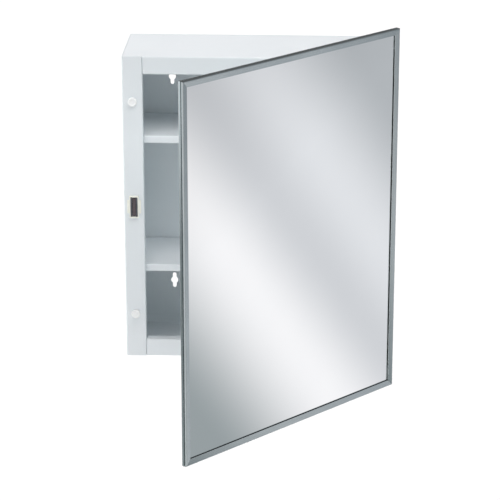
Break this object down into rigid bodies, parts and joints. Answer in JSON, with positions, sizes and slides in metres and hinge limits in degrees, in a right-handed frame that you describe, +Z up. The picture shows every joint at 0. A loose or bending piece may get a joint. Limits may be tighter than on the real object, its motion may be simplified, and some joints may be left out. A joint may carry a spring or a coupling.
{
  "type": "medicine cabinet with mirror door",
  "caption": "Wall-hung steel medicine cabinet with fixed shelves behind a larger side-hinged mirror door in a polished steel channel frame, held shut by a magnetic catch.",
  "frame": {"origin": "centre of the flat rear face that lies against the wall", "axes": "+X to the viewer's right, +Y into the wall, +Z up; the cabinet's open front faces -Y"},
  "size_m": [0.4059, 0.4476, 0.559],
  "materials": {
    "white_enamel": "satin",
    "white_nylon": "satin",
    "ivory_plastic": "satin",
    "ferrite": "matte",
    "plated_steel": "satin",
    "stainless_steel": "polished",
    "mirror_silver": "polished",
    "foam_padding": "matte",
    "galvanised_steel": "satin",
    "grey_vinyl": "matte"
  },
  "bodies": {
    "cabinet": {"left_side_panel": "white_enamel", "right_side_panel": "white_enamel", "top_panel": "white_enamel", "bottom_panel": "white_enamel", "back_panel": "white_enamel", "upper_shelf": "white_enamel", "lower_shelf": "white_enamel", "upper_shelf_bracket_left": "white_enamel", "upper_shelf_bracket_right": "white_enamel", "lower_shelf_bracket_left": "white_enamel", "lower_shelf_bracket_right": "white_enamel", "upper_bumper": "white_nylon", "lower_bumper": "white_nylon", "catch_housing": "ivory_plastic", "catch_magnet": "ferrite", "catch_pole_left": "plated_steel", "catch_pole_right": "plated_steel", "hinge_leaf_body": "stainless_steel", "hinge_pin": "stainless_steel", "hinge_rivet_body_1": "stainless_steel", "hinge_rivet_body_2": "stainless_steel", "hinge_rivet_body_3": "stainless_steel", "hinge_rivet_body_4": "stainless_steel"},
    "door": {"door_frame_left": "stainless_steel", "door_frame_right": "stainless_steel", "door_frame_bottom": "stainless_steel", "door_frame_top": "stainless_steel", "corner_brace_bottom_left": "galvanised_steel", "corner_brace_bottom_right": "galvanised_steel", "corner_brace_top_left": "galvanised_steel", "corner_brace_top_right": "galvanised_steel", "edge_strip_left": "grey_vinyl", "edge_strip_right": "grey_vinyl", "edge_strip_bottom": "grey_vinyl", "edge_strip_top": "grey_vinyl", "mirror_glass": "mirror_silver", "mirror_padding": "foam_padding", "door_back_plate": "galvanised_steel", "hinge_leaf_door": "stainless_steel", "hinge_rivet_door_1": "stainless_steel", "hinge_rivet_door_2": "stainless_steel", "hinge_rivet_door_3": "stainless_steel", "hinge_rivet_door_4": "stainless_steel"}
  },
  "joints": [
    {"name": "door_hinge", "type": "hinge", "parent": "cabinet", "child": "door", "pos_m": [0.1928, -0.1423, 0], "axis": [0, 0, 1], "range_deg": [-47, 48]}
  ]
}
